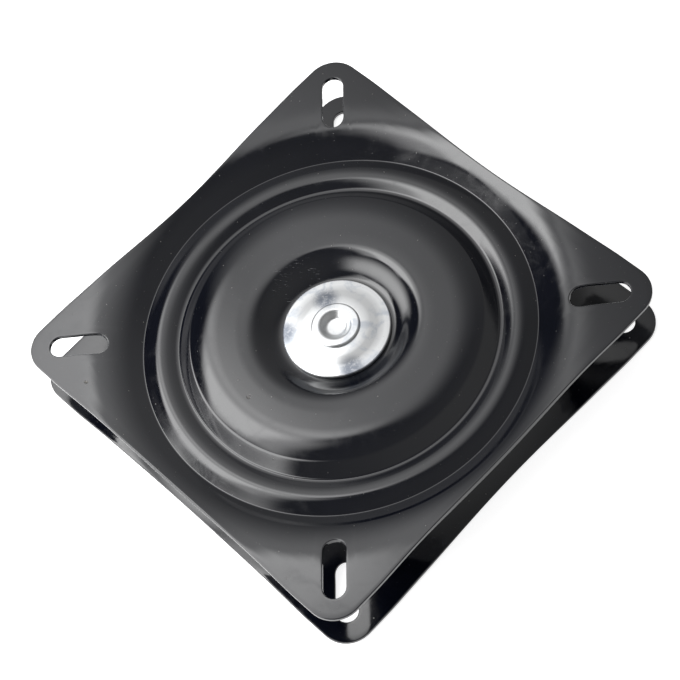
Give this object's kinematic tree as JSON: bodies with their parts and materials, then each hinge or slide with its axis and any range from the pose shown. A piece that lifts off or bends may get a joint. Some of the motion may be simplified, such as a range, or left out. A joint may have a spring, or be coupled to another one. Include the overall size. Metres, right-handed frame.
{
  "type": "lazy susan bearing",
  "caption": "Square pressed-steel swivel plate: two black dished plates turning on a caged ball race, held by a central rivet with cupped zinc washers, bolt slots at the corners.",
  "frame": {"origin": "On the swivel axis, at the level of the lower plate's mounting face, on which it stands.", "axes": "+Z is the swivel axis, up out of the upper plate. +X and +Y run through the plates' corners, along the lines of the bolt slots."},
  "size_m": [0.2762, 0.2762, 0.0298],
  "materials": {
    "black_paint": "glossy black stoved paint on pressed steel",
    "ball_steel": "polished bearing steel",
    "cage_nylon": "natural moulded nylon, lightly greased",
    "spacer_steel": "plain turned steel",
    "zinc_plate": "bright zinc plate"
  },
  "bodies": {
    "base": {"bottom_plate": "black_paint", "lower_washer": "zinc_plate", "centre_spacer": "spacer_steel", "centre_rivet": "zinc_plate", "upper_washer": "zinc_plate"},
    "turntable": {"top_plate": "black_paint"},
    "ball_ring": {"ball_cage": "cage_nylon", "bearing_balls": "ball_steel"}
  },
  "joints": [
    {"name": "swivel", "type": "hinge", "parent": "base", "child": "turntable", "pos_m": [0, 0, 0.01491], "axis": [0, 0, 1], "continuous": true},
    {"name": "ball_ring_turn", "type": "hinge", "parent": "base", "child": "ball_ring", "pos_m": [0, 0, 0.01491], "axis": [0, 0, 1], "continuous": true}
  ],
  "couplings": [
    {"joint": "ball_ring_turn", "follows": "swivel", "ratio": 0.5}
  ]
}
